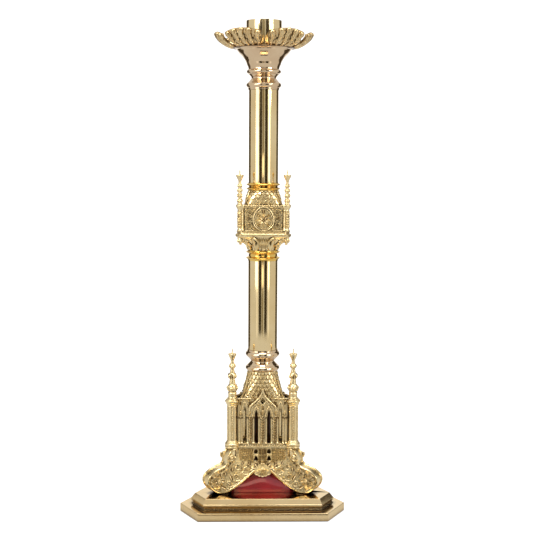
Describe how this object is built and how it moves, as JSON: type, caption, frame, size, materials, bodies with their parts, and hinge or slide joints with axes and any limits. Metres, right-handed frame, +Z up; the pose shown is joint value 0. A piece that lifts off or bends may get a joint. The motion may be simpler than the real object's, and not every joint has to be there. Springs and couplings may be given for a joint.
{
  "type": "standing church candlestick",
  "caption": "Tall gothic church candlestick: triangular stepped plinth, arched tower foot, tube column with turreted knop, leaf drip pan and plain candle socket.",
  "frame": {"origin": "on the column's axis at the underside of the base", "axes": "+Z up along the column, -Y towards the front side of the triangular base, +X to the right of it"},
  "size_m": [0.3792, 0.3283, 1.118],
  "materials": {
    "polished_brass": "mirror polished and lacquered brass",
    "gilt_casting": "cast brass, gilt, burnished on the high points",
    "rose_brass": "turned and polished, slightly rose",
    "orange_gilt": "turned and polished, deep orange gold",
    "red_enamel": "glossy transparent red enamel",
    "steel": "plain steel, out of sight",
    "felt": "dark green felt"
  },
  "bodies": {
    "stand": {"base_felt_pad": "felt", "base_closing_plate": "steel", "tie_rod": "steel", "rod_washer_lower": "steel", "rod_nut_lower": "steel", "rod_washer_upper": "steel", "rod_nut_upper": "steel", "base_plinth_lower": "polished_brass", "base_plinth_upper": "polished_brass", "tube_lower": "polished_brass", "tube_upper": "polished_brass", "tower_core_tube": "polished_brass", "cup_bell": "polished_brass", "red_dome": "red_enamel", "collar_lower": "rose_brass", "collar_upper": "rose_brass", "knop_ring_lower": "orange_gilt", "knop_ring_upper": "orange_gilt", "foot_left": "gilt_casting", "foot_right": "gilt_casting", "foot_rear": "gilt_casting", "arch_front": "gilt_casting", "arch_left": "gilt_casting", "arch_right": "gilt_casting", "tower_deck": "gilt_casting", "tower_panel_front": "gilt_casting", "tower_panel_left": "gilt_casting", "tower_panel_right": "gilt_casting", "tower_pier_left": "gilt_casting", "tower_pier_right": "gilt_casting", "tower_pier_rear": "gilt_casting", "tower_pinnacle_left": "gilt_casting", "tower_pinnacle_right": "gilt_casting", "tower_pinnacle_rear": "gilt_casting", "tower_roof": "gilt_casting", "knop_bell": "gilt_casting", "knop_panel_front": "gilt_casting", "knop_panel_left": "gilt_casting", "knop_panel_right": "gilt_casting", "knop_turret_left": "gilt_casting", "knop_turret_right": "gilt_casting", "knop_turret_rear": "gilt_casting", "knop_pinnacle_left": "gilt_casting", "knop_pinnacle_right": "gilt_casting", "knop_pinnacle_rear": "gilt_casting", "knop_roof": "gilt_casting"},
    "wax_pan": {"drip_pan": "polished_brass", "crown_leaf_1": "gilt_casting", "crown_leaf_2": "gilt_casting", "crown_leaf_3": "gilt_casting", "crown_leaf_4": "gilt_casting", "crown_leaf_5": "gilt_casting", "crown_leaf_6": "gilt_casting"},
    "candle_holder": {"candle_socket": "polished_brass"}
  },
  "joints": [
    {"name": "pan_lift", "type": "slide", "parent": "stand", "child": "wax_pan", "axis": [0, 0, 1], "range_m": [0, 0.04]},
    {"name": "socket_lift", "type": "slide", "parent": "wax_pan", "child": "candle_holder", "axis": [0, 0, 1], "range_m": [0, 0.09]}
  ]
}
